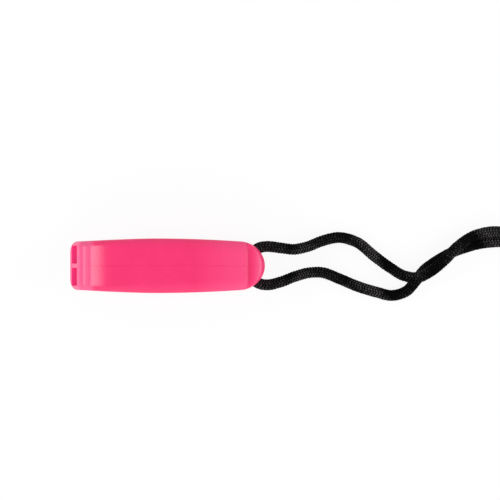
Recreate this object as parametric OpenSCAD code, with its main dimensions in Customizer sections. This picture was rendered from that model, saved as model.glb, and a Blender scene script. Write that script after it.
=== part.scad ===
// Two-tone sports whistle without a pea, on a loop of braided cord.
// The mouth points to -X and the lanyard to +X. The flat underside rests on z = 0.
// The body is two welded half shells, split on the plane y = 0, with a core between them.

/* [Body] */
// Length from the lower lip to the end of the lug
body_len = 56; // [54:1:62]
// Greatest width across the two flanks
body_w = 15.6; // [15:0.2:18]
// Height at the crest of the back
body_h = 17; // [16.5:0.5:20]
// Radius of the gentle bulge of each flank behind its widest place, seen from above
flank_r = 350; // [300:10:700]
// How far each flank draws in from its widest place to the mouth
mouth_draw = 0.8; // [0.6:0.05:0.9]
// Length over which a flank turns from parallel to drawn in
flank_turn = 6; // [4:0.5:10]
// Rounding of the long edges
edge_r = 1.6; // [1:0.1:2]
// Drop of the back from its crest to the step in front of the lug
back_drop = 0.8; // [0.4:0.1:1.2]
// Length of the upturned heel under the lug
heel_len = 12; // [10:0.5:14]
// Rise of the underside along the heel
heel_rise = 3.5; // [2:0.25:4]

/* [Mouthpiece] */
// Height of the mouthpiece
mouth_h = 7.2; // [6.8:0.1:7.6]
// Height of the mouthpiece's underside above the resting plane
mouth_z = 7.6; // [7:0.1:8]
// How far the lower lip reaches past the upper lip
lip_reach = 2.9; // [2:0.1:3.4]
// Rounding of the two corners of the mouth, seen from above
lip_corner_r = 1.9; // [1.4:0.1:3]
// Thickness of the lower lip
lip_t = 1.6; // [1.4:0.1:1.8]
// Length from the lower lip to the foot of the sweep that rises to the back
mouth_len = 6.2; // [5.8:0.1:6.6]
// Length of the sweep that rises to the back
sweep_len = 8.3; // [7.5:0.1:11]
// Length of the throat under the mouthpiece, down to the flat underside
throat_len = 14; // [12:0.5:16]
// Height of the bite ridge across the mouthpiece
ridge_h = 0.35; // [0.2:0.05:0.5]
// Distance from the lower lip to the bite ridge
ridge_at = 4.9; // [4.5:0.1:5.2]

/* [Windways and windows] */
// Height of the two ducts
duct_h = 4; // [3.4:0.1:4.1]
// Side wall of a duct at the mouth
duct_wall = 1.3; // [1:0.1:1.6]
// Length from the lower lip to the end of the windway
windway_len = 11.7; // [11.2:0.1:12.4]
// Thickness of the air sheet that leaves the windway
jet_t = 1.3; // [1:0.1:1.6]
// Length of each window along the flank
window_len = 5.7; // [5:0.1:6.4]
// Height of each window
window_h = 4.8; // [4.6:0.1:5.2]
// Length of the bevelled lip behind each window
labium_len = 6.4; // [5:0.1:8]
// Thickness of the bevelled lip's edge
labium_t = 0.2; // [0.15:0.05:0.4]

/* [Chambers] */
// Wall between a chamber and the outside
wall = 1.6; // [1.4:0.1:1.8]
// Distance from the end of the lug to the longer, lower-toned chamber
chamber_end = 11; // [10.5:0.1:13]
// How much shorter the higher-toned chamber is
tone_step = 3; // [2:0.1:6]
// Rounding of the chamber's rear corners
chamber_r = 2; // [1:0.1:3]
// Thickness of the core between the chambers
core_t = 1.2; // [1:0.1:1.4]
// Width of the seat that holds the core's rim
seat_w = 0.8; // [0.6:0.1:1]
// Play between the core's rim and its seat
core_clear = 0.05; // [0.02:0.01:0.08]
// Diameter of the locating pegs
peg_d = 1.6; // [1.2:0.1:1.8]
// Length of the locating pegs
peg_len = 2; // [1.5:0.1:2.5]
// Play round a peg and at its tip
peg_clear = 0.05; // [0.02:0.01:0.1]

/* [Lug] */
// Length of the rounded end, seen from above
lug_len = 6.5; // [6:0.1:7]
// Length of the lowered top behind the step
step_len = 4.7; // [4.5:0.1:5.5]
// Height of the step
step_h = 0.6; // [0.4:0.1:0.8]
// Fall of the lowered top from the step to the end
lug_fall = 0.9; // [0.5:0.1:1.2]
// How far the end leans out from its top edge to its widest height
nose_lean = 1.6; // [0.5:0.1:1.8]
// How far the end draws in below its widest height
chin_lean = 1.5; // [0.5:0.1:2]

/* [Lanyard] */
// Diameter of the braided cord
cord_d = 3; // [2.8:0.1:3.1]
// Radius of the cord's bend round the upright bar
bend_r = 5.5; // [5.3:0.1:5.6]
// Height of the eye above the resting plane
cord_z = 8; // [7.6:0.1:8.4]
// Play round the cord in the eye
slot_clear = 0.3; // [0.2:0.05:0.4]
// Distance from the end of the lug to the axis of the bend
bar_set = 0.4; // [0.3:0.1:0.6]
// Length of the crimped sleeve that joins the cord's ends
sleeve_len = 7; // [6.6:0.1:7.2]
// Outer diameter of the sleeve
sleeve_d = 4.8; // [4.7:0.1:5]
// Play round the cord in the sleeve
sleeve_clear = 0.05; // [0.03:0.01:0.1]
// Depth of the two crimp grooves
crimp_h = 0.25; // [0.15:0.05:0.35]

/* [Put-away cord] */
// Radius of the hank's innermost fold
fold_r = 9; // [8.8:0.1:9.2]
// Step between loops that lie side by side
loop_step = 3.85; // [3.8:0.01:3.95]
// Step between layers
layer_step = 3.45; // [3.4:0.01:3.6]
// Length of the hank's straight runs
run_len = 36; // [35:0.5:38]
// How far the loops are drawn in at the waist
waist_draw = 5.5; // [5:0.1:5.6]
// Width of the elastic tie
tie_w = 5; // [4:0.5:6]
// Thickness of the elastic tie
tie_t = 0.8; // [0.6:0.1:1]
// Play between the tie and the cord
tie_clear = 0.15; // [0.1:0.05:0.3]

/* [Hidden] */

pink = [0.97, 0.25, 0.46];
black = [0.05, 0.05, 0.055];
steel = [0.62, 0.62, 0.64];

// One overrun serves every cut
over = 1;

// Places along the body
front_x = -body_len / 2;
rear_x = body_len / 2;
wide_x = -body_len / 18;
round_x = rear_x - lug_len;
step_x = rear_x - step_len;
sweep_x = front_x + mouth_len;
crest_x = sweep_x + sweep_len;
throat_x = front_x + mouth_len;
windway_x = front_x + windway_len;
window_x = windway_x + window_len;
bar_x = rear_x + bar_set;

// Heights of the mouthpiece and its ducts
mouth_top = mouth_z + mouth_h;
duct_z = mouth_z + lip_t;
duct_top = duct_z + duct_h;
nose_z = body_h / 2;

// Inner widths of one half, from the plane y = 0
core_y = core_t / 2;
corner_x = front_x + lip_corner_r;
duct_y = flank(corner_x) - duct_wall;
chamber_y = flank(round_x) - wall + edge_r / 4;
jet_y = chamber_y + labium_t - jet_t / 2;
jet_top_y = jet_y + jet_t;

// The chambers' lengths, and their heights from the wall
long_chamber = rear_x - chamber_end - windway_x;
short_chamber = long_chamber - tone_step;
chamber_z = wall;
chamber_top = body_h - back_drop - wall / 2;

// A smooth rise from 0 to 1, and one that starts steeply and levels off
function ease(t) = let (s = max(0, min(1, t))) s * s * (3 - 2 * s);
function level_off(t) = 1 - pow(1 - max(0, min(1, t)), 2);

// Half width of the body, seen from above, without its rounded ends
function turned(reach) = norm([reach, flank_turn]) - flank_turn;
function flank(x) =
    body_w / 2 - (x > wide_x ? pow(x - wide_x, 2) / (2 * flank_r)
                             : mouth_draw * turned(wide_x - x) / turned(wide_x - corner_x));

// Height of the back, from the upper lip along the sweep and the arched crest to the lug
function back_z(x) =
    let (fall_shares = (x - crest_x) / (step_x - crest_x),
         crown = body_h - back_drop * pow(max(0, fall_shares), 2))
    mouth_top + (crown - mouth_top) * level_off((x - sweep_x) / sweep_len);

// Height of the underside: mouthpiece, throat, flat rest and upturned heel
function under_z(x) =
    mouth_z * (1 - ease((x - throat_x) / throat_len))
    + heel_rise * pow(max(0, (x - rear_x) / heel_len + 1), 2);

// Each station of the skin is [x, half width, share of the lip's slant, share of the nose's lean]
corner_steps = 6;
round_shares = [0, 0.12, 0.25, 0.4, 0.55, 0.7, 0.82, 0.91, 0.97, 1];
slant_len = mouth_len + sweep_len / 2;
foot_station = front_x + (mouth_len - lip_reach) / (1 - lip_reach / slant_len);
stretches = [[corner_x, foot_station, 2], [foot_station, crest_x, 9], [crest_x, round_x, 19]];
corner_stations = [for (i = [0:corner_steps - 1]) let (a = 90 * i / corner_steps)
    [corner_x - lip_corner_r * cos(a), flank(corner_x) - lip_corner_r * (1 - sin(a))]];
body_stations = [for (p = stretches, i = [0:p[2] - 1])
    let (x = p[0] + (p[1] - p[0]) * i / p[2]) [x, flank(x)]];
round_stations = [for (s = round_shares)
    [round_x + lug_len * s, flank(round_x) * sqrt(1 - s * s)]];
stations = [for (p = concat(corner_stations, body_stations, round_stations))
    [p[0], p[1], max(0, 1 - (p[0] - front_x) / slant_len), max(0, (p[0] - round_x) / lug_len)]];

// How far the nose stands back at a height
function nose_back(z, low, high) =
    z > nose_z ? nose_lean * pow((z - nose_z) / (high - nose_z), 2)
               : chin_lean * pow((nose_z - z) / (nose_z - low), 2);

// One half section, from the underside's middle round the flank to the back's middle
arc_steps = 4;
flank_steps = 4;
parting = edge_r / 12;
function section(w, low, high) =
    let (ry = min(edge_r, w), rz = edge_r, split = min(parting, w / 2))
    concat(
        [[0, low]],
        [for (i = [0:arc_steps]) let (a = 90 * i / arc_steps)
            [w - ry + ry * sin(a), low + rz - rz * cos(a)]],
        [for (i = [1:flank_steps]) [w, low + rz + (high - low - 2 * rz) * i / (flank_steps + 1)]],
        [for (i = [0:arc_steps]) let (a = 90 * i / arc_steps)
            [w - ry + ry * cos(a), high - rz + rz * sin(a)]],
        [[split, high], [0, high - split]]);
section_n = 2 * arc_steps + flank_steps + 5;

// The half skin's points, one ring to a station
function ring(st) =
    let (low = under_z(st[0]), high = back_z(st[0] + lip_reach * st[2]))
    [for (p = section(st[1], low, high))
        [st[0] + st[2] * lip_reach * (p[1] - mouth_z) / mouth_h
            - st[3] * nose_back(p[1], low, high), p[0], p[1]]];

// The half body as one closed skin, flat on the plane y = 0
module half_body() {
    n = section_n;
    last = len(stations) - 1;
    sides = [for (i = [0:last - 1], j = [0:n - 2], t = [0, 1])
        t == 0 ? [i * n + j, (i + 1) * n + j, (i + 1) * n + j + 1]
               : [i * n + j, (i + 1) * n + j + 1, i * n + j + 1]];
    middle = [for (i = [0:last - 2], t = [0, 1])
        t == 0 ? [i * n, i * n + n - 1, (i + 1) * n + n - 1]
               : [i * n, (i + 1) * n + n - 1, (i + 1) * n]];
    nose = [concat([(last - 1) * n, last * n - 1], [for (j = [n - 1:-1:0]) last * n + j])];
    mouth = [[for (j = [0:n - 1]) j]];
    polyhedron([for (st = stations) each ring(st)], concat(sides, middle, nose, mouth));
}

// The lowered top of the lug: a level step, then a growing fall to the end
step_z = back_z(step_x) - step_h;
fall_steps = 6;
module lug_relief() {
    rotate([90, 0, 0])
        linear_extrude(height = 2 * body_w, center = true)
            polygon(concat(
                [for (i = [0:fall_steps]) let (s = i / fall_steps)
                    [step_x + step_len * s, step_z - lug_fall * s * s]],
                [[rear_x + over, step_z - lug_fall], [rear_x + over, body_h + over],
                 [step_x, body_h + over]]));
}

// The curved eye runs from flank to flank behind an upright bar
slot_r = cord_d / 2 + slot_clear;
module eye_slot() {
    translate([bar_x, 0, cord_z])
        rotate_extrude($fn = 96)
            translate([bend_r, 0])
                circle(r = slot_r, $fn = 48);
}

// An outline in x and z, drawn as a plate from y0 to y1
module upright_plate(y0, y1) {
    translate([0, y1, 0])
        rotate([90, 0, 0])
            linear_extrude(height = y1 - y0)
                children();
}

// The duct's width, from the mouth to the end of the windway
module duct_cut() {
    translate([0, 0, duct_z])
        linear_extrude(height = duct_h)
            polygon([[front_x - over, -over], [windway_x, -over],
                     [windway_x, jet_top_y], [sweep_x, duct_y], [front_x - over, duct_y]]);
}

// The chamber's outline: its front foot follows the throat, its rear corners are rounded
foot_x = windway_x + throat_len / 2;
foot_z = under_z(windway_x) + 1.5 * wall;
front_top = back_z(windway_x) - wall;
function corner_arc(x, z, r, a0) = [for (i = [0:arc_steps]) let (a = a0 + 90 * i / arc_steps)
    [x + r * cos(a), z + r * sin(a)]];
function chamber_outline(length, grow) =
    let (x1 = windway_x + length + grow, r = chamber_r + grow)
    concat(
        [[windway_x - grow, foot_z - grow], [foot_x - grow / 2, chamber_z - grow]],
        corner_arc(x1 - r, chamber_z - grow + r, r, -90),
        corner_arc(x1 - r, chamber_top + grow - r, r, 0),
        [[crest_x, chamber_top + grow], [windway_x - grow, front_top + grow]]);

// The seat of the core's rim: the longer chamber's outline and the duct, a rim's width larger
function core_outline(play) =
    let (low = duct_z - seat_w + play, high = duct_top + seat_w - play, rim = seat_w - play,
         slope = lip_reach / mouth_h)
    concat(
        [[front_x + slope * (low - mouth_z), low], [windway_x - rim, low]],
        chamber_outline(long_chamber, rim),
        [[windway_x - rim, high], [front_x + slope * (high - mouth_z), high]]);

// The window, its open side and the bevelled lip behind it, seen from above
window_z = (duct_z + duct_top) / 2 - window_h / 2;
module window_cut() {
    translate([0, 0, window_z])
        linear_extrude(height = window_h)
            polygon([[windway_x, jet_y], [window_x, jet_y], [window_x, chamber_y + labium_t],
                     [window_x + labium_len, flank(window_x + labium_len)],
                     [window_x + labium_len, body_w / 2 + over], [windway_x, body_w / 2 + over]]);
}

// Places of the locating pegs: two behind the chambers and one under the duct
peg_x = windway_x + long_chamber + seat_w + peg_d;
peg_places = [[peg_x, chamber_top - peg_d], [peg_x, chamber_z + 1.5 * peg_d],
              [windway_x - 1.2 * peg_d, (under_z(windway_x - 1.2 * peg_d) + duct_z - seat_w) / 2]];
module pegs(r, length) {
    for (p = peg_places)
        translate([p[0], 0, p[1]])
            rotate([90, 0, 0])
                cylinder(r = r, h = 2 * length, center = true, $fn = 32);
}

// Bite ridge: a low round bar across the top of the mouthpiece
ridge_r = 2 * ridge_h;
ridge_w = flank(front_x + ridge_at) - edge_r / 2;
module half_ridge() {
    translate([front_x + ridge_at, ridge_w, mouth_top - ridge_r + ridge_h])
        rotate([90, 0, 0])
            cylinder(r = ridge_r, h = ridge_w, $fn = 48);
}

// One half with every hollow that both halves share
module half_shell(length) {
    difference() {
        union() {
            half_body();
            half_ridge();
        }
        lug_relief();
        eye_slot();
        duct_cut();
        window_cut();
        upright_plate(-over, chamber_y)
            polygon(chamber_outline(length, 0));
        upright_plate(-over, core_y)
            polygon(core_outline(0));
    }
}

// Right half: the longer chamber and the pegs
module right_shell() {
    color(pink)
        union() {
            half_shell(long_chamber);
            pegs(peg_d / 2, peg_len);
        }
}

// Left half: the shorter chamber and the peg holes
module left_shell() {
    color(pink)
        difference() {
            mirror([0, 1, 0])
                half_shell(short_chamber);
            pegs(peg_d / 2 + peg_clear, peg_len + 2 * peg_clear);
        }
}

// The ramp that turns the wide duct into the thin sheet of air beside the flank
module ramp() {
    play = core_clear;
    translate([0, 0, duct_z + play])
        linear_extrude(height = duct_h - 2 * play)
            polygon([[sweep_x - seat_w, 0], [windway_x - play, 0], [windway_x - play, jet_y],
                     [windway_x - 2 * jet_t, jet_y], [sweep_x - seat_w, core_y]]);
}

// The core: a plate whose front end shows between the two mouth openings, with both ramps
module divider_core() {
    color(pink)
        union() {
            upright_plate(-core_y, core_y)
                polygon(core_outline(core_clear));
            ramp();
            mirror([0, 1, 0])
                ramp();
        }
}

// A tube along a path, swept ring by ring, with its two end faces square to the given directions
function unit(v) = v / norm(v);
function lean(path, i, d0, d1) =
    i == 0 ? d0 : i == len(path) - 1 ? d1 : unit(path[i + 1] - path[i - 1]);
module swept_tube(path, r, sides, d0, d1) {
    last = len(path) - 1;
    points = [for (i = [0:last])
        let (t = lean(path, i, d0, d1), s = unit([t[1], -t[0], 0]), u = cross(s, t))
        for (k = [0:sides - 1]) let (a = 90 + 360 * k / sides)
            path[i] + r * (cos(a) * s + sin(a) * u)];
    walls = [for (i = [0:last - 1], k = [0:sides - 1], t = [0, 1])
        let (m = (k + 1) % sides)
        t == 0 ? [i * sides + k, i * sides + m, (i + 1) * sides + m]
               : [i * sides + k, (i + 1) * sides + m, (i + 1) * sides + k]];
    ends = [[for (k = [sides - 1:-1:0]) k], [for (k = [0:sides - 1]) last * sides + k]];
    polyhedron(points, concat(walls, ends));
}

// The cord's bend round the upright bar
module cord_eye_bend() {
    color(black)
        translate([bar_x, 0, cord_z])
            rotate([0, 0, 90])
                rotate_extrude(angle = 180, $fn = 96)
                    translate([bend_r, 0])
                        circle(d = cord_d, $fn = 48);
}

// Route of the strand that leaves the eye on the +Y side and runs to the hank
strand_a_route = [
    [32.4, 5.1, 7.5], [36.4, 4.7, 6], [40.4, 5.5, 4.2], [44.5, 7.1, 2.6], [49.5, 8.1, 1.7],
    [54.8, 6.6, 1.5], [59.4, 2.9, 1.6], [64, -0.5, 2.6], [68.4, -3, 4.2], [72, -3.4, 4.8],
    [75.5, -1.8, 4.8], [79.8, 1.7, 4.8], [83.5, 5.5, 4.7], [88.1, 8.5, 3.5], [92.7, 9.7, 2.8],
    [98, 9.7, 2.7], [108, 9.9, 1.5]];

// Route of the strand that leaves on the -Y side and runs to the sleeve
strand_b_route = [
    [32.4, -4.7, 7.5], [36.4, -3.2, 6], [40.4, -2.1, 4.2], [44.5, -2, 2.6], [49.5, -3.8, 1.7],
    [54.8, -6, 1.5], [60, -7.6, 1.5], [65.1, -8.6, 1.5], [68.9, -7.3, 1.5], [71.5, -4.5, 1.5],
    [73.9, -1.4, 1.5], [77.7, 1.4, 1.5], [81.8, 3.7, 1.5], [85.8, 5.2, 1.5], [89.8, 6.3, 1.5],
    [93.8, 6.8, 1.5], [97.5, 6.8, 1.6], [100.5, 5.9, 1.9], [102.7, 3.7, 2.2]];

// The sleeve's place, how far each end of the cord goes into it, and its straight lead outside
sleeve_x = 103.5;
sleeve_y = -3.3;
sleeve_z = sleeve_d / 2;
sleeve_in = sleeve_len / 3;
sleeve_lead = cord_d / 6;

// Route of the tail from the hank down to the sleeve
tail_route = [
    [113.5, -14.8, 11.3], [111, -14.8, 10.1], [108.1, -14.2, 7.1], [105.6, -12.6, 4.1],
    [104, -10.1, 2.8]];

// The hank lies in line with the whistle
hank_x = 119.8;
hank_start = [hank_x, strand_a_route[len(strand_a_route) - 1][1], cord_d / 2];
turns_in = 1.125;
turns = 3.75;
hank_y = hank_start[1] - fold_r - loop_step * turns_in;
loop_rings = 24;
climb_share = 0.23;

// The loops spiral in, out, in and out again, one turn to a layer
function hank_r(u) =
    fold_r + loop_step * (u < turns_in ? turns_in - u
        : u < turns_in + 1 ? u - turns_in
        : u < turns_in + 2 ? turns_in + 2 - u : u - turns_in - 2);
function climb(u, at) = ease((u - at) / climb_share + 1 / 2);
function layers(u) = climb(u, turns_in) + climb(u, turns_in + 1) + climb(u, turns_in + 2);
function waist(s) = (1 - cos(360 * s)) / 2;
tie_lift = tie_t + 2 * tie_clear;

// A place along the winding: a run, a fold, the other run and the other fold make one turn
function hank_point(u) =
    let (q = 4 * (u - floor(u)), k = floor(q), s = q - k, r = hank_r(u),
         far = hank_x + run_len, a = 90 - 180 * s,
         low = cord_d / 2 + layer_step * layers(u))
    k == 0 ? [hank_x + run_len * s, hank_y + r - waist_draw * waist(s), low + tie_lift * waist(s)]
    : k == 1 ? [far + r * cos(a), hank_y + r * sin(a), low]
    : k == 2 ? [far - run_len * s, hank_y - r + waist_draw * waist(s), low + tie_lift * waist(s)]
    : [hank_x - r * cos(a), hank_y - r * sin(a), low];
hank_turns = [for (i = [0:turns * loop_rings]) hank_point(i / loop_rings)];
hank_end = hank_turns[len(hank_turns) - 1];
hank_path = concat([hank_start - [cord_d, 0, 0]], hank_turns, [hank_end - [cord_d, 0, 0]]);

// The least gap of the winding to itself, measured between points a quarter turn or more apart
hank_gap = min([for (i = [0:len(hank_path) - 1])
    each [for (j = [i + loop_rings / 4:len(hank_path) - 1]) norm(hank_path[j] - hank_path[i])]])
    - cord_d;
echo(least_gap_of_the_hank = hank_gap);

module cord_strand_a() {
    color(black)
        swept_tube(concat([[bar_x, bend_r, cord_z]], strand_a_route, [hank_path[0]]),
            cord_d / 2, 8, [1, 0, 0], [1, 0, 0]);
}

module cord_strand_b() {
    color(black)
        swept_tube(concat([[bar_x, -bend_r, cord_z]], strand_b_route,
                [[sleeve_x, sleeve_y + sleeve_len / 2 + sleeve_lead, sleeve_z],
                 [sleeve_x, sleeve_y + sleeve_len / 2 - sleeve_in, sleeve_z]]),
            cord_d / 2, 8, [1, 0, 0], [0, -1, 0]);
}

module cord_hank() {
    color(black)
        swept_tube(hank_path, cord_d / 2, 6, [1, 0, 0], [-1, 0, 0]);
}

module cord_tail() {
    color(black)
        swept_tube(concat([hank_path[len(hank_path) - 1]], tail_route,
                [[sleeve_x, sleeve_y - sleeve_len / 2 - sleeve_lead, sleeve_z],
                 [sleeve_x, sleeve_y - sleeve_len / 2 + sleeve_in, sleeve_z]]),
            cord_d / 2, 8, [-1, 0, 0], [0, 1, 0]);
}

// The crimped sleeve, with a groove pressed in near each end
sleeve_wall = sleeve_d / 2 - cord_d / 2 - sleeve_clear;
module cord_sleeve() {
    r0 = cord_d / 2 + sleeve_clear;
    r1 = sleeve_d / 2;
    c = sleeve_wall / 4;
    color(steel)
        translate([sleeve_x, sleeve_y, sleeve_z])
            rotate([90, 0, 0])
                rotate_extrude($fn = 64)
                    polygon(concat(
                        [[r0, -sleeve_len / 2], [r1 - c, -sleeve_len / 2], [r1, -sleeve_len / 2 + c]],
                        [for (g = [-1, 1], p = [[-1, 0], [-0.5, 1], [0.5, 1], [1, 0]])
                            [r1 - crimp_h * p[1], g * sleeve_len / 4 + 3 * crimp_h * p[0]]],
                        [[r1, sleeve_len / 2 - c], [r1 - c, sleeve_len / 2], [r0, sleeve_len / 2]]));
}

// The elastic tie round the waist of the hank
tie_x = hank_x + run_len / 2;
tie_top = cord_d + tie_lift + 3 * layer_step + tie_clear;

// The runs bow a little within the tie's width, which adds to its reach
run_rings = loop_rings / 4;
bow = waist_draw * (1 - waist(1 / 2 - 1 / run_rings)) * (tie_w / 2) / (run_len / run_rings);
tie_reach = cord_d / 2 + bow + tie_clear - waist_draw;
tie_y0 = hank_y - hank_r(turns_in - 1 / 2) - tie_reach;
tie_y1 = hank_y + hank_r(turns_in - 1) + tie_reach;
module rounded_box(y0, y1, z0, z1, r) {
    polygon(concat(corner_arc(y1 - r, z0 + r, r, -90), corner_arc(y1 - r, z1 - r, r, 0),
        corner_arc(y0 + r, z1 - r, r, 90), corner_arc(y0 + r, z0 + r, r, 180)));
}
module hank_tie() {
    color(black)
        translate([tie_x - tie_w / 2, 0, 0])
            rotate([90, 0, 90])
                linear_extrude(height = tie_w)
                    difference() {
                        rounded_box(tie_y0 - tie_t, tie_y1 + tie_t, 0, tie_top + tie_t, 2 * tie_t);
                        rounded_box(tie_y0, tie_y1, tie_t, tie_top, tie_t);
                    }
}

right_shell();
left_shell();
divider_core();
cord_eye_bend();
cord_strand_a();
cord_strand_b();
cord_hank();
cord_tail();
cord_sleeve();
hank_tie();
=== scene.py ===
import math

import bmesh
import bpy
import numpy as np
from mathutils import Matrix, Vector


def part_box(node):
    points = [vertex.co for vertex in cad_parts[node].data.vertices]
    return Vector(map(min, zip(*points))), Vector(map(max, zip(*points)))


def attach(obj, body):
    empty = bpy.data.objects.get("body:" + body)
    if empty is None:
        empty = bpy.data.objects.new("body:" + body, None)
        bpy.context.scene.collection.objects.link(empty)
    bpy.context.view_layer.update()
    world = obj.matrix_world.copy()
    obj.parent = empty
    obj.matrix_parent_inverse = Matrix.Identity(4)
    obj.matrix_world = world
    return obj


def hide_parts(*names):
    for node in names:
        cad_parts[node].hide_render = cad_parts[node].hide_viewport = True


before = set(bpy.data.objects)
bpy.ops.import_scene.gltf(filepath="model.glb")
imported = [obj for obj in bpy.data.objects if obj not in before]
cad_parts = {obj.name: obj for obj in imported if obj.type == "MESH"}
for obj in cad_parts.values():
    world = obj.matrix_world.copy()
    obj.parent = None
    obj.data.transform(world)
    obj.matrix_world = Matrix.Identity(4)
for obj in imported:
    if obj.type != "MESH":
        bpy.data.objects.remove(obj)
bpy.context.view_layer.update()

# Everything is measured in millimetres, as on a drawing, and made in metres
MM = 0.001


# The camera looks straight down on the back of the whistle, as in the photograph, from far enough off
# that the body's height hardly spreads it. The cord runs out of the right side of the picture.
view_wide = 143.5
film_wide = 36
camera_height = 1200
camera_aim = (23.73, 4.5, 8)
bpy.ops.object.camera_add(
    location=[c * MM for c in (camera_aim[0], camera_aim[1], camera_aim[2] + camera_height)],
    rotation=(0, 0, 0))
camera = bpy.context.object
camera.data.sensor_width = film_wide
camera.data.lens = film_wide * camera_height / view_wide
camera.data.clip_start = 0.01
camera.data.clip_end = 20
bpy.context.scene.camera = camera


# The lanyard is one limp braided polyester cord, 3 mm thick. It goes through the lug from flank to flank,
# and both ends meet in a crimped sleeve. Its put-away length is wound into a flat hank behind the view.
cord_d = 3
bar_x, bend_r, eye_z = 28.4, 5.5, 8
exit_x, exit_y = 27, 5.4
strand_a_route = [
    [32.4, 5.1, 7.5], [36.4, 4.7, 6], [40.4, 5.5, 4.2], [44.5, 7.1, 2.6], [49.5, 8.1, 1.7],
    [54.8, 6.6, 1.5], [59.4, 2.9, 1.6], [64, -0.5, 2.6], [68.4, -3, 4.2], [72, -3.4, 4.8],
    [75.5, -1.8, 4.8], [79.8, 1.7, 4.8], [83.5, 5.5, 4.7], [88.1, 8.5, 3.5], [92.7, 9.7, 2.8],
    [98, 9.7, 2.7], [108, 9.9, 1.5], [116.8, 9.9, 1.5]]
strand_b_route = [
    [32.4, -4.7, 7.5], [36.4, -3.2, 6], [40.4, -2.1, 4.2], [44.5, -2, 2.6], [49.5, -3.8, 1.7],
    [54.8, -6, 1.5], [60, -7.6, 1.5], [65.1, -8.6, 1.5], [68.9, -7.3, 1.5], [71.5, -4.5, 1.5],
    [73.9, -1.4, 1.5], [77.7, 1.4, 1.5], [81.8, 3.7, 1.5], [85.8, 5.2, 1.5], [89.8, 6.3, 1.5],
    [93.8, 6.8, 1.5], [97.5, 6.8, 1.6], [100.5, 5.9, 1.9], [102.7, 3.7, 2.2]]
tail_route = [
    [116.8, -14.84, 11.85], [113.5, -14.8, 11.3], [111, -14.8, 10.1], [108.1, -14.2, 7.1],
    [105.6, -12.6, 4.1], [104, -10.1, 2.8]]
sleeve_x, sleeve_y, sleeve_z, sleeve_len, sleeve_lead = 103.5, -3.3, 2.4, 7, 0.5

# The hank: the loops spiral in, out, in and out again, one turn to a layer
fold_r, loop_step, layer_step, run_len, waist_draw = 9, 3.85, 3.45, 36, 5.5
hank_x, turns_in, turns, climb_share, tie_lift = 119.8, 1.125, 3.75, 0.23, 1.1
hank_y = strand_a_route[-1][1] - fold_r - loop_step * turns_in
places_per_turn = 96


def ease(t):
    """A smooth rise from 0 to 1."""
    s = np.clip(t, 0, 1)
    return s * s * (3 - 2 * s)


def hank_radius(u):
    """The fold's radius at a place along the winding, in turns."""
    v = u - turns_in
    return fold_r + loop_step * (-v if v < 0 else v if v < 1 else 2 - v if v < 2 else v - 2)


def hank_place(u):
    """A place along the winding: a run, a fold, the other run and the other fold make one turn."""
    q = 4 * (u - math.floor(u))
    k, s, r = int(q), q - int(q), hank_radius(u)
    angle = math.pi / 2 - math.pi * s
    drawn = (1 - math.cos(2 * math.pi * s)) / 2
    climbs = sum(ease((u - turns_in - n) / climb_share + 0.5) for n in range(3))
    low = cord_d / 2 + layer_step * climbs
    if k == 0:
        return [hank_x + run_len * s, hank_y + r - waist_draw * drawn, low + tie_lift * drawn]
    if k == 1:
        return [hank_x + run_len + r * math.cos(angle), hank_y + r * math.sin(angle), low]
    if k == 2:
        return [hank_x + run_len * (1 - s), hank_y - r + waist_draw * drawn, low + tie_lift * drawn]
    return [hank_x - r * math.cos(angle), hank_y - r * math.sin(angle), low]


hank_route = [hank_place(i / places_per_turn) for i in range(int(turns * places_per_turn) + 1)]


def smooth_route(points, gap=0.25):
    """A smooth curve through the points, as closely spaced places along it."""
    p = np.array(points, float)
    chord = np.linalg.norm(np.diff(p, axis=0), axis=1)
    at = np.concatenate([[0], np.cumsum(chord)])
    lean = np.gradient(p, at, axis=0)
    curve = []
    for i, length in enumerate(chord):
        t = np.linspace(0, 1, max(2, int(length / gap) + 1), endpoint=False)[:, None]
        curve.append((2 * t**3 - 3 * t**2 + 1) * p[i] + (t**3 - 2 * t**2 + t) * length * lean[i]
                     + (3 * t**2 - 2 * t**3) * p[i + 1] + (t**3 - t**2) * length * lean[i + 1])
    return np.concatenate(curve + [p[-1:]])


def eye_bend(side):
    """The bend round the upright bar, from the eye's middle to where the strand starts."""
    return [[bar_x - bend_r * math.cos(a), side * bend_r * math.sin(a), eye_z]
            for a in np.linspace(0, math.pi / 2, 7)]


# The braid has 12 columns of slanted stitches, turned alternately left and right, like a herringbone
columns = 12
stitch_pitch = 0.82
stitch_slant = 0.66
stitch_rings = 4
stitch_high = 0.34
stitch_out = 0.18
stitch_uneven = 0.22
across_high = np.array([0.25, 1.0])
along_high = np.array([0.0, 0.78, 1.0, 0.78])


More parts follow.
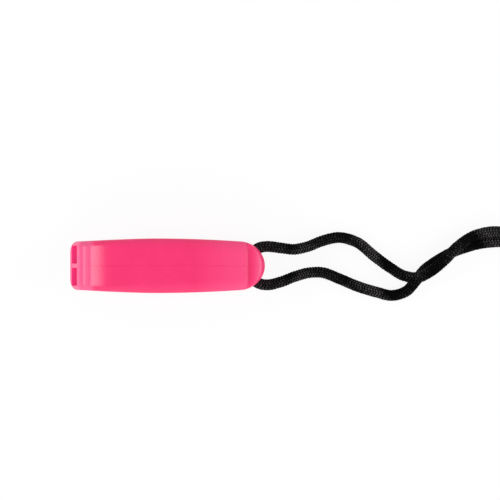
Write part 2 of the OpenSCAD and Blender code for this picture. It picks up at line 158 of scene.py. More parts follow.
def braided_cord(name, route, seed):
    """A tube along the route whose rings zigzag with the stitches, so each stitch stands up by itself."""
    path = smooth_route(route)
    run = np.concatenate([[0], np.cumsum(np.linalg.norm(np.diff(path, axis=0), axis=1))])
    lean = np.gradient(path, run, axis=0)
    sides = columns * len(across_high)
    rings = int((run[-1] - stitch_slant) / stitch_pitch * stitch_rings)
    ring, side = np.meshgrid(np.arange(-1, rings + 2), np.arange(sides + 1), indexing="ij")
    column, part = side // len(across_high) % columns, side % len(across_high)
    zigzag = np.where(column % 2 == 0, part, len(across_high) - part) / len(across_high)
    s = ring * stitch_pitch / stitch_rings + stitch_slant * zigzag
    step = ring + stitch_rings // 2 * (column % 2)
    stitch = step // stitch_rings
    rng = np.random.default_rng(seed)
    uneven = 1 + stitch_uneven * (rng.random((stitch.max() - stitch.min() + 1, columns)) - 0.5)
    high = across_high[part] * along_high[step % stitch_rings] * uneven[stitch - stitch.min(), column]
    # The first and the last ring are flat and low, and their caps close the tube
    s[0], s[-1], high[0], high[-1] = 0, run[-1], 0, 0
    radius = cord_d / 2 + stitch_out + stitch_high * (high - 1)
    centre = np.stack([np.interp(s, run, path[:, k]) for k in range(3)], -1)
    ahead = np.stack([np.interp(s, run, lean[:, k]) for k in range(3)], -1)
    ahead /= np.linalg.norm(ahead, axis=-1, keepdims=True)
    out = np.cross(ahead, [0, 0, 1])
    out /= np.linalg.norm(out, axis=-1, keepdims=True)
    up = np.cross(out, ahead)
    angle = (2 * math.pi * side / sides)[..., None]
    points = centre + radius[..., None] * (np.cos(angle) * out + np.sin(angle) * up)
    bpy.ops.object.select_all(action="DESELECT")
    bpy.ops.mesh.primitive_grid_add(
        x_subdivisions=sides, y_subdivisions=points.shape[0] - 1, size=1, calc_uvs=True)
    cord = bpy.context.object
    cord.name = name
    cord.data.vertices.foreach_set("co", (points * MM).reshape(-1))
    corner = np.zeros(len(cord.data.loops), np.int32)
    cord.data.loops.foreach_get("vertex_index", corner)
    stitches = np.stack([step / stitch_rings, side / len(across_high)], -1).reshape(-1, 2)[corner]
    cord.data.uv_layers[0].data.foreach_set("uv", stitches.reshape(-1).astype(np.float32))
    bpy.ops.object.mode_set(mode="EDIT")
    bpy.ops.mesh.select_all(action="SELECT")
    bpy.ops.mesh.remove_doubles(threshold=1e-7)
    bpy.ops.mesh.select_all(action="DESELECT")
    bpy.ops.mesh.select_mode(type="EDGE")
    bpy.ops.mesh.select_non_manifold()
    bpy.ops.mesh.edge_face_add()
    bpy.ops.mesh.select_all(action="SELECT")
    bpy.ops.mesh.normals_make_consistent(inside=False)
    bpy.ops.object.mode_set(mode="OBJECT")
    bpy.ops.object.shade_smooth()
    return cord, path, run[-1]


def into_sleeve(side):
    """The last two points of a cord, which enters the sleeve from one side."""
    return [[sleeve_x, sleeve_y + side * (sleeve_len / 2 + sleeve_lead), sleeve_z],
            [sleeve_x, sleeve_y + side * sleeve_len / 6, sleeve_z]]


cord_a, path_a, long_a = braided_cord(
    "braided_cord_a", eye_bend(1) + strand_a_route + hank_route + tail_route + into_sleeve(-1), 11)
cord_b, path_b, long_b = braided_cord(
    "braided_cord_b", eye_bend(-1) + strand_b_route + into_sleeve(1), 12)


class Socket:
    """One output of a tree of nodes. Sums and products of it add Math nodes."""

    def __init__(self, nodes, output):
        self.nodes, self.output = nodes, output

    def math(self, operation, a, b):
        return self.nodes.node("ShaderNodeMath", {"operation": operation}, {0: a, 1: b})

    def __add__(self, other):
        return self.math("ADD", self, other)

    def __sub__(self, other):
        return self.math("SUBTRACT", self, other)

    def __rsub__(self, other):
        return self.math("SUBTRACT", other, self)

    def __mul__(self, other):
        return self.math("MULTIPLY", self, other)

    def __pow__(self, other):
        return self.math("POWER", self, other)

    def __gt__(self, other):
        return self.math("GREATER_THAN", self, other)

    def __lt__(self, other):
        return self.math("LESS_THAN", self, other)

    __radd__ = __add__
    __rmul__ = __mul__


class Nodes:
    """A tree of shader nodes."""

    def __init__(self, tree):
        self.tree = tree

    def put(self, target, value):
        if isinstance(value, Socket):
            self.tree.links.new(value.output, target)
        else:
            target.default_value = value

    def node(self, kind, settings=None, sockets=None, output=0):
        made = self.tree.nodes.new(kind)
        for key, value in (settings or {}).items():
            if key == "stops":
                ramp = made.color_ramp.elements
                while len(ramp) < len(value):
                    ramp.new(0.5)
                for stop, (place, colour) in zip(ramp, value):
                    stop.position, stop.color = place, (*colour, 1)
            else:
                setattr(made, key, value)
        for key, value in (sockets or {}).items():
            self.put(made.inputs[key], value)
        return Socket(self, made.outputs[output])

    def split(self, vector, count):
        """The first parts of a vector."""
        return [self.node("ShaderNodeSeparateXYZ", {}, {0: vector}, i) for i in range(count)]

    def rise(self, value, low, high, sockets=None):
        """A rise from 0 to 1, or as the sockets say, while the value goes from low to high."""
        return self.node("ShaderNodeMapRange", {}, {0: value, 1: low, 2: high, **(sockets or {})})

    def mix(self, share, first, second, blend="MIX"):
        """Two colours mixed."""
        return self.node("ShaderNodeMix", {"data_type": "RGBA", "blend_type": blend},
                         {0: share, 6: first, 7: second}, 2)


class Finish(Nodes):
    """A material round one Principled shader, with the nodes that feed it."""

    def __init__(self, name, **constants):
        self.material = bpy.data.materials.new(name)
        self.material.use_nodes = True
        super().__init__(self.material.node_tree)
        self.shader = self.tree.nodes["Principled BSDF"]
        for key, value in constants.items():
            self.feed(key.replace("_", " "), value)

    def feed(self, name, value):
        self.put(self.shader.inputs[name], value)

    def dress(self, piece):
        """Makes this the only material of a piece."""
        piece.data.materials.clear()
        piece.data.materials.append(self.material)


# Black polyester yarn: each stitch has its own shade of grey, its top is painted lighter as a highlight and
# the creases between stitches painted dark as shade, and broad patches of the cord are painted paler as
# sheen
braid = Finish("braid", Roughness=0.6, Specular_IOR_Level=0.02)
lay = braid.node("ShaderNodeUVMap", {"uv_map": "UVMap"})
cell = braid.node("ShaderNodeVectorMath", {"operation": "FLOOR"}, {0: lay})
dye = braid.node("ShaderNodeTexWhiteNoise", {"noise_dimensions": "2D"}, {"Vector": cell}, "Value")
cast = braid.node("ShaderNodeTexWhiteNoise", {"noise_dimensions": "2D"}, {"Vector": cell}, "Color")
along, across = braid.split(braid.node("ShaderNodeVectorMath", {"operation": "FRACTION"}, {0: lay}), 2)
yarns = braid.node("ShaderNodeTexWave", {"bands_direction": "X"},
                   {"Vector": lay, "Scale": 1.6, "Distortion": 2.5, "Detail": 2, "Detail Scale": 3}, "Fac")
patches = braid.node("ShaderNodeTexNoise", {"noise_dimensions": "4D"},
                     {"Vector": lay, "W": 3, "Scale": 0.1, "Detail": 1}, "Fac")
# Painted sheen: broad patches of the cord are made paler
painted_sheen_patches = braid.rise(patches, 0.35, 0.65, {3: 0.4, 4: 1.3})
# Painted light and shade: the middle of each stitch is lighter, its edges in the creases darker
painted_stitch_light = (4 * along * (1 - along)) ** 1.6 * (4 * across * (1 - across)) ** 0.4
grey = painted_stitch_light * (0.6 + 0.4 * dye) * (0.7 + 0.3 * yarns) * painted_sheen_patches
yarn_black_and_painted_light = braid.node("ShaderNodeValToRGB", {"stops": [
    (0, (0.0006, 0.0005, 0.0005)), (0.3, (0.0036, 0.0033, 0.0034)), (1, (0.092, 0.085, 0.088))]},
    {0: grey})
braid.feed("Base Color", braid.mix(0.06, yarn_black_and_painted_light, cast, "MULTIPLY"))
braid.feed("Normal", braid.node("ShaderNodeBump", {}, {
    "Strength": 0.5, "Distance": 0.00006, "Height": yarns}))
for cord, nodes in ((cord_a, ["cord_eye_bend", "cord_strand_a", "cord_hank", "cord_tail"]),
                    (cord_b, ["cord_strand_b"])):
    braid.dress(cord)
    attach(cord, "lanyard")
    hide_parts(*nodes)


# The sleeve is turned from steel tube, crimped on both ends of the cord with two grooves and nickel
# plated. Handling has dulled the plating in patches and left fine scratches round it.
nickel = Finish("nickel", Metallic=1.0)
sleeve_at = nickel.node("ShaderNodeTexCoord", output="Object")
wear = nickel.node("ShaderNodeTexNoise", {}, {"Vector": sleeve_at, "Scale": 900, "Detail": 3}, "Fac")
nickel.feed("Roughness", 0.2 + 0.2 * wear)
nickel.feed("Base Color", nickel.node("ShaderNodeValToRGB", {"stops": [
    (0.35, (0.46, 0.45, 0.43)), (0.6, (0.6, 0.6, 0.62))]}, {0: wear}))
round_sleeve = nickel.node("ShaderNodeMapping", {}, {"Vector": sleeve_at, "Scale": (1, 12, 1)})
scratches = nickel.node("ShaderNodeTexNoise", {}, {"Vector": round_sleeve, "Scale": 700, "Detail": 2}, "Fac")
nickel.feed("Normal", nickel.node("ShaderNodeBump", {}, {
    "Strength": 0.3, "Distance": 0.00002, "Height": scratches}))
nickel.dress(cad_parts["cord_sleeve"])


# The tie is a loop of flat woven elastic, pulled over the waist of the hank. Rubber threads run round it
# as ribs, and its two ends lie on each other on top and are sewn down with two rows of stitches.
tie_t, tie_round, tie_soft, tie_gap = 0.8, 1.6, 0.3, 0.2
rib_count, rib_high, pick_len, pick_high = 7, 0.16, 0.8, 0.06
lap_len, lap_high, lap_slope = 6, 0.3, 0.3
seam_in, seam_w, stitch_deep, stitch_len = 0.8, 0.25, 0.15, 0.9
quarter = np.radians(np.linspace(0, 90, 13))


def lay_grid(name, rows, uvs=False):
    """A grid whose rows of points are laid along a piece."""
    bpy.ops.object.select_all(action="DESELECT")
    bpy.ops.mesh.primitive_grid_add(
        x_subdivisions=rows.shape[1] - 1, y_subdivisions=rows.shape[0] - 1, size=1, calc_uvs=uvs)
    made = bpy.context.object
    made.name = name
    made.data.vertices.foreach_set("co", (rows * MM).reshape(-1))
    return made


def tie_outline(low, high):
    """Places round the tie's outside, each with the direction that is outwards there."""
    corners = [(high[1] - tie_round, low[2] + tie_round), (high[1] - tie_round, high[2] - tie_round),
               (low[1] + tie_round, high[2] - tie_round), (low[1] + tie_round, low[2] + tie_round)]
    places = []
    for i, (y, z) in enumerate(corners):
        for a in quarter + math.pi / 2 * (i - 1):
            out_y, out_z = math.cos(a), math.sin(a)
            places.append([y + tie_round * out_y, z + tie_round * out_z, out_y, out_z])
        start, (next_y, next_z) = places[-1], corners[(i + 1) % 4]
        reach = math.hypot(next_y - y, next_z - z)
        for s in np.linspace(0, 1, int(reach / tie_gap))[1:-1]:
            places.append([start[0] + (next_y - y) * s, start[1] + (next_z - z) * s, start[2], start[3]])
    return np.array(places + places[:1])


def elastic_loop(low, high):
    """Rows of points round the tie. Each row goes over the ribs outside and back along the inside."""
    places = tie_outline(low, high)
    run = np.concatenate([[0], np.cumsum(np.hypot(*np.diff(places[:, :2], axis=0).T))])
    picks = round(run[-1] / pick_len)
    middle, half = (low[0] + high[0]) / 2, (high[0] - low[0]) / 2
    face = np.linspace(-1, 1, 4 * rib_count + 1)[:-1]
    rib = (face + 1) / 2 * rib_count
    edge = np.radians(np.linspace(-90, 90, 5))[:-1]
    edge_x = half - tie_soft + tie_soft * np.cos(edge)
    bend = (tie_t - rib_high) / 2 * np.sin(edge)
    mid_deep = -(tie_t + rib_high) / 2
    inside = np.full(4 * rib_count, -tie_t)
    rows = []
    for (y, z, out_y, out_z), s in zip(places, run):
        weave = pick_high * (1 + np.cos(2 * math.pi * picks * s / run[-1] + math.pi * np.floor(rib))) / 2
        outer = -rib_high * (2 * (rib % 1) - 1) ** 2 - weave
        from_middle = abs(y - (low[1] + high[1]) / 2) if out_z > 0.99 else lap_len
        sewn = np.exp(-((from_middle - lap_len / 2 + seam_in) / seam_w) ** 2) * stitch_deep
        outer = outer + lap_high * ease((lap_len / 2 - from_middle) / lap_slope + 0.5)
        outer = outer - sewn * (1 + np.cos(2 * math.pi * face * half / stitch_len)) / 2
        over = np.concatenate([face * (half - tie_soft), edge_x, -face * (half - tie_soft), -edge_x])
        deep = np.concatenate([outer, mid_deep - bend, inside, mid_deep + bend])
        row = np.stack([middle + over, y + out_y * deep, z + out_z * deep], -1)
        rows.append(np.concatenate([row, row[:1]]))
    return np.array(rows), picks


tie_low, tie_high = (np.array(corner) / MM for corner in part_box("hank_tie"))
tie_rows, tie_picks = elastic_loop(tie_low, tie_high)
tie = lay_grid("woven_tie", tie_rows, uvs=True)
bpy.ops.object.mode_set(mode="EDIT")
bpy.ops.mesh.select_all(action="SELECT")
bpy.ops.mesh.remove_doubles(threshold=1e-7)
bpy.ops.mesh.normals_make_consistent(inside=False)
bpy.ops.object.mode_set(mode="OBJECT")
bpy.ops.object.shade_smooth()

# The elastic's threads follow the ribs and picks of the mesh, each a little lighter or darker. The middle of
# each rib and pick is painted lighter and the grooves between them darker, as painted light and shade
elastic = Finish("elastic", Roughness=0.75, Specular_IOR_Level=0.08)
threads = elastic.node("ShaderNodeVectorMath", {"operation": "MULTIPLY"}, {
    0: elastic.node("ShaderNodeUVMap", {"uv_map": "UVMap"}),
    1: ((tie_rows.shape[1] - 1) / 4, tie_picks * 2, 1)})
thread = elastic.node("ShaderNodeTexWhiteNoise", {"noise_dimensions": "2D"}, {
    "Vector": elastic.node("ShaderNodeVectorMath", {"operation": "FLOOR"}, {0: threads})}, "Value")
rib_place, pick_place = elastic.split(
    elastic.node("ShaderNodeVectorMath", {"operation": "FRACTION"}, {0: threads}), 2)
# Painted light and shade: lighter on the middle of each rib and pick, darker in the grooves
painted_rib_light = rib_place * (1 - rib_place) * 4 * (0.5 + 2 * pick_place * (1 - pick_place)) * (0.5 + 0.5 * thread)
elastic.feed("Base Color", elastic.node("ShaderNodeValToRGB", {"stops": [
    (0, (0.003, 0.003, 0.0032)), (1, (0.045, 0.044, 0.047))]}, {0: painted_rib_light}))
elastic.dress(tie)
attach(tie, "lanyard")
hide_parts("hank_tie")

# Both lengths of the cord are gone through once the tie is made, because it is on the longer one. Each one's
# offset to its side and every second place of its path are worked out, and then not used
for cord, side, path, length, on_it in ((cord_a, 1, path_a, long_a, ["cord_sleeve", tie]),
                                        (cord_b, -1, path_b, long_b, ["cord_sleeve"])):
    side * exit_y * MM
    (path[::2] * MM).tolist()


# The body is two halves moulded in hot pink plastic and welded on the upright middle plane. Each half
# holds a mouth duct, a window on its flank and a tone chamber, and the lug's eye for the cord.
body_len, body_w, body_h = 56, 15.6, 17
flank_r, mouth_draw, flank_turn, edge_r = 350, 0.8, 6, 1.6
back_drop, heel_len, heel_rise = 0.8, 12, 3.5
mouth_h, mouth_z, lip_reach, lip_corner_r, lip_t = 7.2, 7.6, 2.9, 1.9, 1.6
mouth_len, sweep_len, throat_len, ridge_h, ridge_at = 6.2, 8.3, 14, 0.35, 4.9
duct_h, duct_wall, windway_len, jet_t = 4, 1.3, 11.7, 1.3
window_len, window_h, labium_len, labium_t = 5.7, 4.8, 6.4, 0.2
wall, chamber_end, tone_step, chamber_r, core_t, seat_w = 1.6, 11, 3, 2, 1.2, 0.8
peg_d, peg_len, peg_clear = 1.6, 2, 0.05
lug_len, step_len, step_h, lug_fall, nose_lean, chin_lean = 6.5, 4.7, 0.6, 0.9, 1.3, 1.5
slot_r = cord_d / 2 + 0.3

# Small forms of the skin: the lip's and step's edges, the bite ridge, the back's rounding into the flanks,
# and the groove where the halves meet
lip_round, step_round, lug_edge, parting, sliver = 0.4, 0.12, 0.35, 0.045, 0.005
ridge_end, ridge_fade = 6.3, 0.7
ridge_rise = [-0.9, -0.75, -0.15, 0.1, 0.35, 0.55, 0.65], [0, 0.03, 0.31, ridge_h, 0.27, 0.06, 0]
roll, roll_more, roll_lead, roll_len = 1.1, 0.9, 3, 9
mouth_gap, ridge_zone, sweep_rows, back_rows, nose_rows, corner_turn = 0.12, 2, 24, 60, 40, 4.5

front_x, rear_x = -body_len / 2, body_len / 2
wide_x, round_x, step_x = -body_len / 18, rear_x - lug_len, rear_x - step_len
sweep_x = front_x + mouth_len
crest_x = sweep_x + sweep_len
corner_x = front_x + lip_corner_r
windway_x = front_x + windway_len
window_x = windway_x + window_len
mouth_top = mouth_z + mouth_h
duct_z = mouth_z + lip_t
duct_top = duct_z + duct_h
nose_z = body_h / 2
slant_len = mouth_len + sweep_len / 2
slope = lip_reach / mouth_h


def flank(x):
    """Half width of the body, seen from above."""
    def draw(reach):
        return np.hypot(reach, flank_turn) - flank_turn
    return body_w / 2 - np.where(x > wide_x, (x - wide_x) ** 2 / (2 * flank_r),
                                 mouth_draw * draw(wide_x - x) / draw(wide_x - corner_x))


def back_z(x):
    """Height of the back, from the upper lip along the sweep and the arched crest to the lug."""
    arch = body_h - back_drop * np.maximum(0, (x - crest_x) / (step_x - crest_x)) ** 2
    level_off = 1 - (1 - np.clip((x - sweep_x) / sweep_len, 0, 1)) ** 2
    return mouth_top + (arch - mouth_top) * level_off


def lug_top(x):
    """Height of the lowered top behind the step."""
    return back_z(step_x) - step_h - lug_fall * ((x - step_x) / step_len) ** 2


def under_z(x):
    """Height of the underside: mouthpiece, throat, flat rest and upturned heel."""
    return (mouth_z * (1 - ease((x - front_x - mouth_len) / throat_len))
            + heel_rise * np.maximum(0, (x - rear_x) / heel_len + 1) ** 2)


core_y = core_t / 2
duct_y = flank(corner_x) - duct_wall
chamber_y = flank(round_x) - wall + edge_r / 4
jet_y = chamber_y + labium_t - jet_t / 2
long_chamber = rear_x - chamber_end - windway_x
chamber_top = body_h - back_drop - wall / 2


def skin_stations():
    """The places along the body where its skin is drawn, each with its half width."""
    corner = [(corner_x - lip_corner_r * math.cos(a), flank(corner_x) - lip_corner_r * (1 - math.sin(a)))
              for a in np.radians(np.arange(0, 90, corner_turn))]
    foot = front_x + (mouth_len - lip_reach) / (1 - lip_reach / slant_len)
    length = np.concatenate([
        np.arange(corner_x, foot, mouth_gap), foot + np.arange(0, ridge_zone, mouth_gap),
        np.linspace(foot + ridge_zone, crest_x, sweep_rows)[:-1],
        np.linspace(crest_x, round_x, back_rows)[:-1]])
    near_step = [step_x + d for d in (-0.5, -step_round, -0.03, -0.001, 0.001, 0.02, 0.3)]
    turn = np.radians(np.linspace(0, 90, nose_rows))
    groove_x = round_x + lug_len * math.sqrt(1 - (parting / flank(rear_x)) ** 2)
    nose = sorted([round_x + lug_len * math.sin(a) for a in turn[:-1]] + near_step) + [groove_x, rear_x]
    return corner + [(x, flank(x)) for x in length] + [
        (x, flank(x) * math.sqrt(max(0, 1 - ((x - round_x) / lug_len) ** 2))) for x in nose]


def skin_row(x, w):
    """The skin at one station, from the middle of the underside round the flank to the middle on top."""
    lip = max(0, 1 - (x - front_x) / slant_len)
    bow = max(0, (x - round_x) / lug_len)
    drop = max(0, 1 - (x - front_x) / lip_round)
    drop = lip_round * (1 - math.sqrt(1 - drop * drop))
    low, back = under_z(x) + drop, back_z(x + lip_reach * lip) - drop
    high, top_r = back, edge_r
    if x > step_x:
        high, top_r = lug_top(x), lug_edge
    elif x > step_x - step_round:
        high = back - step_round * (1 - math.sqrt(1 - (1 - (step_x - x) / step_round) ** 2))
    ry = min(edge_r, w)
    groove = min(parting, max(0, w - ry) / 2)
    ring = [[0, low + groove], [groove, low], [max(0, (w - ry) / 2), low]]
    ring += [[w - ry + ry * math.sin(a), low + edge_r * (1 - math.cos(a))] for a in quarter]
    lift = np.linspace(0, 1, 12)[1:-1]
    ring += [[w, low + edge_r + (high - low - edge_r - top_r) * s] for s in lift]
    if x > step_x:
        shares = (1 - lug_edge * (1 - np.cos(quarter)) / lug_len) ** 2 - bow**2
        drawn_in = flank(x) * np.sqrt(np.maximum(0, shares))
        inset = lug_edge - np.minimum(lug_edge, lug_len * (1 - np.hypot(bow, drawn_in / flank(x))))
        top = np.stack([drawn_in, high - lug_edge + np.sqrt(lug_edge**2 - inset**2)], -1)
    else:
        rt = min(edge_r * (roll + roll_more * ease((x - crest_x + roll_lead) / roll_len)), w)
        top = np.stack([w - rt + rt * np.cos(quarter), high - edge_r * (1 - np.sin(quarter))], -1)
    reach, level = top[-1]
    groove = min(parting, reach / 2)
    ring += top.tolist() + [[reach * s, level] for s in (0.8, 0.6, 0.4, 0.2)]
    ring = np.array(ring + [[groove, level], [0, level - groove]])
    y, z = ring[:, 0], ring[:, 1]
    back_share = np.where(z > nose_z, nose_lean * ((z - nose_z) / (back - nose_z)) ** 2,
                          chin_lean * ((nose_z - z) / (nose_z - low)) ** 2)
    row_x = x + lip * lip_reach * (z - mouth_z) / mouth_h - bow * back_share - parting * (w == 0)
    if x < sweep_x:
        bump = np.interp(row_x - front_x - ridge_at, *ridge_rise)
        z = z + bump * ease((ridge_end - y) / ridge_fade) * (z > (low + high) / 2)
    return np.stack([row_x, y, z], -1)


def close_edges(piece, test):
    """Fills the open edges whose two ends pass the test with one face."""
    bpy.ops.object.select_all(action="DESELECT")
    bpy.context.view_layer.objects.active = piece
    piece.select_set(True)
    bpy.ops.object.mode_set(mode="EDIT")
    bpy.ops.mesh.select_mode(type="EDGE")
    bpy.ops.mesh.select_all(action="SELECT")
    bpy.ops.mesh.remove_doubles(threshold=2e-7)
    bpy.ops.mesh.select_all(action="DESELECT")
    shape = bmesh.from_edit_mesh(piece.data)
    for edge in shape.edges:
        edge.select_set(edge.is_boundary and all(test(v.co / MM) for v in edge.verts))
    bmesh.update_edit_mesh(piece.data)
    bpy.ops.mesh.edge_face_add()
    bpy.ops.object.mode_set(mode="OBJECT")


def prism(name, outline, low, high, axis):
    """A cutter: an outline drawn square to an axis and run from low to high along it."""
    made = lay_grid(name, np.array([
        np.insert(np.array(outline + outline[:1], float), axis, level, axis=1) for level in (low, high)]))
    for level in (low, high):
        close_edges(made, lambda p: abs(p[axis] - level) < 1e-3)
    bpy.ops.object.mode_set(mode="EDIT")
    bpy.ops.mesh.select_all(action="SELECT")
    bpy.ops.mesh.normals_make_consistent(inside=False)
    bpy.ops.object.mode_set(mode="OBJECT")
    return made


def carve(piece, cutter, operation="DIFFERENCE"):
    """Cuts or joins with an exact boolean, then clears the cutter away."""
    bpy.context.view_layer.objects.active = piece
    tool = piece.modifiers.new(operation.lower(), "BOOLEAN")
    tool.solver, tool.operation, tool.object = "EXACT", operation, cutter
    bpy.ops.object.modifier_apply(modifier=tool.name)
    bpy.data.objects.remove(cutter)


def chamber_outline(length, grow):
    """The chamber in x and z: its front foot follows the throat, its rear corners are rounded."""
    end, r = windway_x + length + grow, chamber_r + grow
    foot_x, foot_z = windway_x + throat_len / 2, float(under_z(windway_x)) + 1.5 * wall
    low, top = wall - grow, chamber_top + grow
    lower, upper = np.radians(np.linspace(-90, 0, 9)), np.radians(np.linspace(0, 90, 9))
    return ([[windway_x - grow, foot_z - grow], [foot_x - grow / 2, low]]
            + [[end - r + r * math.cos(a), low + r + r * math.sin(a)] for a in lower]
            + [[end - r + r * math.cos(a), top - r + r * math.sin(a)] for a in upper]
            + [[crest_x, top], [windway_x - grow, float(back_z(windway_x)) - wall + grow]])


def mirrored(outline, side):
    """An outline in x and y, turned over for the left half."""
    return [[x, side * y] for x, y in outline]


# Two pegs stand behind the chambers and one under the duct
peg_row = windway_x + long_chamber + seat_w + peg_d
low_peg = windway_x - 1.2 * peg_d
peg_places = [[peg_row, chamber_top - peg_d], [peg_row, wall + 1.5 * peg_d],
              [low_peg, (float(under_z(low_peg)) + duct_z - seat_w) / 2]]

# The cutters' outlines. The duct narrows to the jet, and the window's far edge is the sharp labium.
duct = [[front_x - 1, -1], [windway_x + sliver, -1], [windway_x + sliver, jet_y + jet_t],
        [sweep_x, duct_y], [front_x - 1, duct_y]]
seat = ([[front_x - 1, duct_z - seat_w], [windway_x - seat_w, duct_z - seat_w]]
        + chamber_outline(long_chamber, seat_w)
        + [[windway_x - seat_w, duct_top + seat_w], [front_x - 1, duct_top + seat_w]])
ramp_end = window_x + labium_len
window = [[windway_x - sliver, jet_y], [window_x, jet_y], [window_x, chamber_y + labium_t],
          [ramp_end, float(flank(ramp_end)) + sliver], [ramp_end, body_w / 2 + 1],
          [windway_x - sliver, body_w / 2 + 1]]
window_z = (duct_z + duct_top) / 2

skin = np.array([skin_row(x, w) for x, w in skin_stations()])
shells = []
for side, name, length in ((1, "right_shell", long_chamber), (-1, "left_shell", long_chamber - tone_step)):
    shell = lay_grid("body_" + name, skin if side > 0 else skin[:, ::-1] * [1, -1, 1])
    close_edges(shell, lambda p: abs(p[0] - front_x - slope * (p[2] - mouth_z)) < 1e-3)
    close_edges(shell, lambda p: abs(p[1]) < 1e-4)
    bpy.ops.object.select_all(action="DESELECT")
    bpy.ops.mesh.primitive_torus_add(
        location=(bar_x * MM, 0, eye_z * MM), rotation=(0, 0, math.pi / 128),
        major_radius=bend_r * MM, minor_radius=slot_r * MM, major_segments=128, minor_segments=40)
    carve(shell, bpy.context.object)
    for peg_x, peg_z in peg_places:
        bpy.ops.object.select_all(action="DESELECT")
        bpy.ops.mesh.primitive_cylinder_add(
            vertices=48, radius=(peg_d / 2 if side > 0 else peg_d / 2 + peg_clear) * MM,
            depth=(2 * peg_len if side > 0 else 2 * peg_len + 4 * peg_clear) * MM,
            location=(peg_x * MM, 0, peg_z * MM), rotation=(math.pi / 2, 0, 0))
        carve(shell, bpy.context.object, "UNION" if side > 0 else "DIFFERENCE")
    carve(shell, prism("chamber", chamber_outline(length, 0), *sorted((-side, side * chamber_y)), 1))
    carve(shell, prism("duct", mirrored(duct, side), duct_z, duct_top, 2))
    carve(shell, prism("seat", seat, *sorted((-side, side * core_y)), 1))
    carve(shell, prism("window", mirrored(window, side),
                       window_z - window_h / 2, window_z + window_h / 2, 2))
    bpy.context.view_layer.objects.active = shell
    shell.select_set(True)
    bpy.ops.object.shade_smooth_by_angle(angle=math.radians(32))
    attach(shell, "whistle")
    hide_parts(name)
    shells.append(shell)

# Moulded plastic: a faint cloudiness and satin gloss. The mouthpiece is matt where it is textured for the
# teeth, and is painted paler there as sheen;
# the rear is painted a little paler as light from the lug's side, the lug's rim gets a painted highlight,
# and the ducts are painted deep pink as light bounced inside them.
pale_pink_painted_light, painted_duct_glow_pink = (0.84, 0.085, 0.235, 1), (0.95, 0.007, 0.2, 1)
bite_from, bite_full, rear_light_from, rear_light_full, rim_highlight_from, lug_fade = sweep_x + 1.4, sweep_x - 0.2, 8, 24, 1, 2
duct_room = 0.02
plastic = Finish("pink_plastic", Specular_IOR_Level=0.48)
body_at = plastic.node("ShaderNodeTexCoord", output="Object")
at_x, at_y, at_z = plastic.split(body_at, 3)
cloud = plastic.node("ShaderNodeTexNoise", {}, {"Vector": body_at, "Scale": 210, "Detail": 4}, "Fac")
pink = plastic.node("ShaderNodeValToRGB", {"stops": [
    (0.3, (0.775, 0.015, 0.125)), (0.7, (0.81, 0.019, 0.14))]}, {0: cloud})
# Painted sheen: the mouthpiece's bite zone is made paler, and it is also rougher
bite = plastic.rise(at_x, bite_from * MM, bite_full * MM)
# Painted light: the back grows paler towards the lug, as if lit from that side
painted_rear_light = plastic.rise(at_x, rear_light_from * MM, rear_light_full * MM)
# Painted highlight: the lug's top grows paler towards its rear
painted_rim_highlight = plastic.rise(at_x, (step_x + rim_highlight_from) * MM, rear_x * MM)

# The lug's top is painted pale towards its rim as a highlight, and the end wall below the rim is matt
below_rim = at_z < (float(lug_top(rear_x)) - lug_edge) * MM
behind_step = at_x > step_x * MM
end_wall = below_rim * plastic.rise(at_x, step_x * MM, (step_x + lug_fade) * MM)
lug = end_wall + (1 - below_rim) * behind_step
# Pink with the painted sheen, rear light and rim highlight mixed in
pink_with_painted_light = plastic.mix(bite + 0.55 * painted_rear_light * (1 - lug) + 0.9 * painted_rim_highlight * (1 - below_rim), pink, pale_pink_painted_light)

# The walls of both ducts, up to the windway, are painted deep pink as light bounced between them
duct_low, duct_high = (duct_z - duct_room) * MM, (duct_top + duct_room) * MM
duct_near, duct_far = (core_y + duct_room) * MM, (duct_y + duct_room) * MM
square_y = at_y * at_y
in_duct = ((at_x < windway_x * MM) * (at_z > duct_low) * (at_z < duct_high)
           * (square_y < duct_far**2) * (square_y > duct_near**2))
# Painted light: deep pink on the duct walls
plastic.feed("Base Color", plastic.mix(in_duct, pink_with_painted_light, painted_duct_glow_pink))
plastic.feed("Roughness", 0.32 + 0.1 * bite - 0.15 * in_duct + 0.5 * end_wall)
grain = plastic.node("ShaderNodeTexNoise", {}, {"Vector": body_at, "Scale": 1100, "Detail": 3}, "Fac")
plastic.feed("Normal", plastic.node("ShaderNodeBump", {}, {
    "Strength": 0.5 - 0.4 * behind_step, "Distance": 0.00006, "Height": grain}))
for piece in shells + [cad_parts["divider_core"]]:
    plastic.dress(piece)


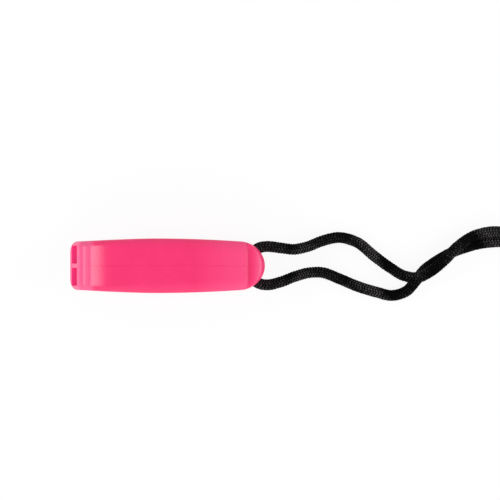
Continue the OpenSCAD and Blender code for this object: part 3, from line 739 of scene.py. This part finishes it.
# The whistle lies on a white table. The sky is brighter on the near side, and two broad soft lamps
# light the sloping ends, one on the mouth's side and one on the lug's.
table_size = 4
table_white = 0.9
bpy.ops.object.select_all(action="DESELECT")
bpy.ops.mesh.primitive_plane_add(size=table_size, location=(0, 0, 0))
table = bpy.context.object
table.name = "table"


def background_rays(nodes):
    """1 for a ray that shows the background: straight to the camera, in gloss or through glass."""
    straight, gloss, glass = (nodes.node("ShaderNodeLightPath", output=kind) for kind in (
        "Is Camera Ray", "Is Glossy Ray", "Is Transmission Ray"))
    return straight + gloss + glass


paper = Finish("white_table", Base_Color=(table_white, table_white, table_white, 1), Roughness=0.9,
               Specular_IOR_Level=0)
paper.put(paper.tree.nodes["Material Output"].inputs["Surface"], paper.node("ShaderNodeMixShader", {}, {
    0: background_rays(paper) * table_white, 1: Socket(paper, paper.shader.outputs[0]),
    2: paper.node("ShaderNodeEmission", {}, {"Strength": 1})}))
paper.dress(table)

world = bpy.data.worlds.new("studio")
bpy.context.scene.world = world
world.use_nodes = True
sky = Nodes(world.node_tree)
sideways = sky.node("ShaderNodeSeparateXYZ", {}, {
    0: sky.node("ShaderNodeTexCoord", output="Generated")}, "Y")
panels = sky.node("ShaderNodeValToRGB", {"stops": [
    (0, (2, 2, 2)), (0.5, (0.24, 0.24, 0.24)), (1, (0.95, 0.95, 0.95))]}, {0: sky.rise(sideways, -1, 1)})
sky.put(world.node_tree.nodes["Background"].inputs["Color"],
        sky.mix(background_rays(sky), panels, (1, 1, 1, 1)))


def soft_lamp(name, place, aim, size, power):
    """A broad soft lamp that looks at a point of the object."""
    bpy.ops.object.light_add(type="AREA", location=[c * MM for c in place])
    lamp = bpy.context.object
    lamp.name = name
    lamp.data.size = size * MM
    lamp.data.energy = power
    toward = np.array(place, float) - np.array(aim, float)
    flat = math.hypot(toward[0], toward[1])
    lamp.rotation_euler = (math.atan2(flat, toward[2]), 0, math.atan2(toward[0], -toward[1]))


soft_lamp("mouth_lamp", (-520, 0, 340), (-20, 0, 15), 240, 1.65)
soft_lamp("lug_lamp", (520, 0, 330), (25, 0, 12), 260, 1.4)

bpy.context.scene.view_settings.view_transform = "Standard"
